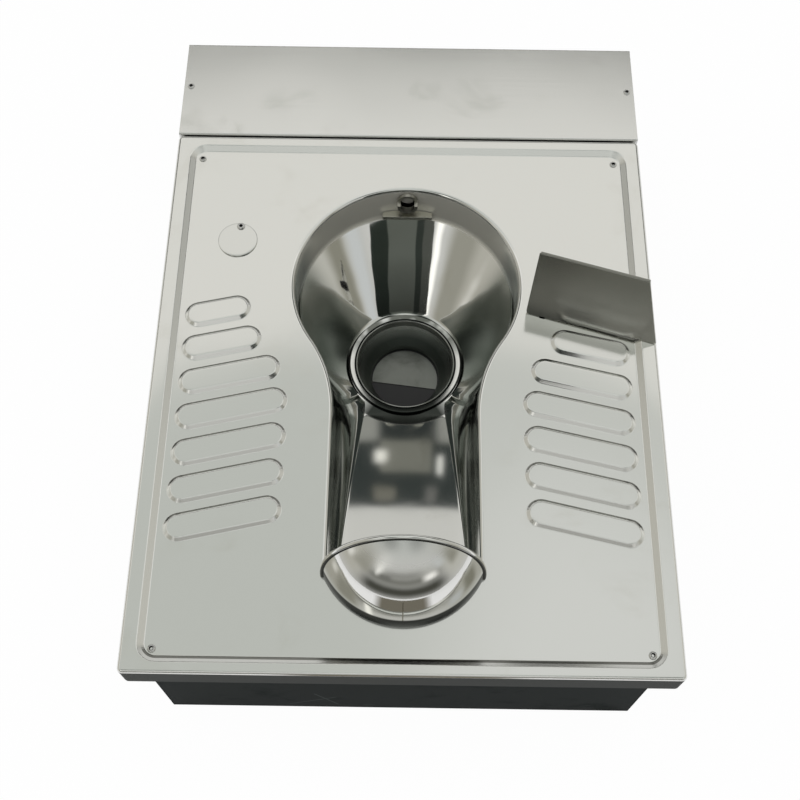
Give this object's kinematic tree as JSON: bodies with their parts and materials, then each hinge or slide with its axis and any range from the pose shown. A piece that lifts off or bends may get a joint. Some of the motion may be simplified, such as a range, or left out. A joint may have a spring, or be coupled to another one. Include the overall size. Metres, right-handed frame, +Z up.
{
  "type": "squat toilet",
  "caption": "Stainless steel squat toilet on a box base, with a raised splash hood, ribbed foot areas and a foot pedal that opens a flap under the bowl.",
  "frame": {"origin": "middle of the underside of the base, at the centre of the whole footprint", "axes": "+Z up, +Y towards the rear cover and the water inlet, +X towards the pedal's side"},
  "size_m": [0.53, 0.757, 0.2483],
  "materials": {
    "deck_steel": "satin stainless steel with faint wear",
    "cover_steel": "satin stainless steel",
    "bowl_steel": "mirror polished stainless steel",
    "plain_steel": "mill finish stainless steel",
    "dull_steel": "dull, water stained stainless steel",
    "pedal_steel": "smooth, dark stainless steel",
    "spring_steel": "bright spring wire",
    "rivet_alloy": "plain aluminium",
    "box_paint": "black paint with scratches",
    "black_rubber": "matt black rubber",
    "nylon": "natural nylon",
    "brass": "turned brass"
  },
  "bodies": {
    "body": {"deck": "deck_steel", "bowl": "bowl_steel", "splash_hood": "bowl_steel", "hood_bead": "bowl_steel", "drain_collar": "bowl_steel", "collar_gasket": "black_rubber", "shaft_brackets": "plain_steel", "shaft_bushes": "nylon", "bracket_bolts": "plain_steel", "return_spring": "spring_steel", "pedal_pin": "plain_steel", "pedal_lugs": "deck_steel", "port_rivet": "rivet_alloy", "deck_rivets": "rivet_alloy", "rear_cover": "cover_steel", "cover_rivets": "rivet_alloy", "front_panel": "box_paint", "left_panel": "box_paint", "right_panel": "box_paint", "rear_panel": "box_paint", "base_plate": "box_paint", "service_box": "box_paint", "flush_nozzle": "plain_steel", "nozzle_nut": "plain_steel", "spreader_plate": "bowl_steel", "inlet_fitting": "brass", "inlet_nut": "brass", "supply_hose": "black_rubber", "flush_hose": "black_rubber", "hose_clamps": "plain_steel", "valve_body": "brass"},
    "flap": {"flap_disc": "plain_steel", "flap_seal": "black_rubber", "flap_clamp_plate": "dull_steel", "flap_arms": "plain_steel", "flap_shaft": "plain_steel", "flap_crank": "plain_steel"},
    "pedal": {"pedal_plate": "pedal_steel", "pedal_tube": "plain_steel", "pedal_crank": "plain_steel", "pedal_bumper": "black_rubber"},
    "link": {"link_rod": "plain_steel"},
    "plunger": {"valve_plunger": "plain_steel"},
    "port_lid": {"port_cover": "plain_steel"}
  },
  "joints": [
    {"name": "pedal_hinge", "type": "hinge", "parent": "body", "child": "pedal", "pos_m": [0.01352, 0.05643, 0.1765], "axis": [-0.9593, 0.2823, 0], "range_deg": [0, 60], "stiffness_Nm_per_rad": 1.5, "springref_deg": -34.38},
    {"name": "flap_hinge", "type": "hinge", "parent": "body", "child": "flap", "pos_m": [-0.02202, -0.06433, 0.041], "axis": [-0.9593, 0.2823, 0], "range_deg": [0, 60]},
    {"name": "link_pivot", "type": "hinge", "parent": "pedal", "child": "link", "pos_m": [0.02, 0.07846, 0.1572], "axis": [-0.9593, 0.2823, 0], "range_deg": [-60, 0]},
    {"name": "valve_slide", "type": "slide", "parent": "body", "child": "plunger", "axis": [-0.2823, -0.9593, 0], "range_m": [0, 0.018]},
    {"name": "port_swivel", "type": "hinge", "parent": "body", "child": "port_lid", "pos_m": [-0.1845, 0.1185, 0.1685], "axis": [0, 0, 1], "range_deg": [0, 160]}
  ],
  "couplings": [
    {"joint": "flap_hinge", "follows": "pedal_hinge", "ratio": 1},
    {"joint": "link_pivot", "follows": "pedal_hinge", "ratio": -1},
    {"joint": "valve_slide", "follows": "pedal_hinge", "m_per_rad": 0.017189}
  ]
}
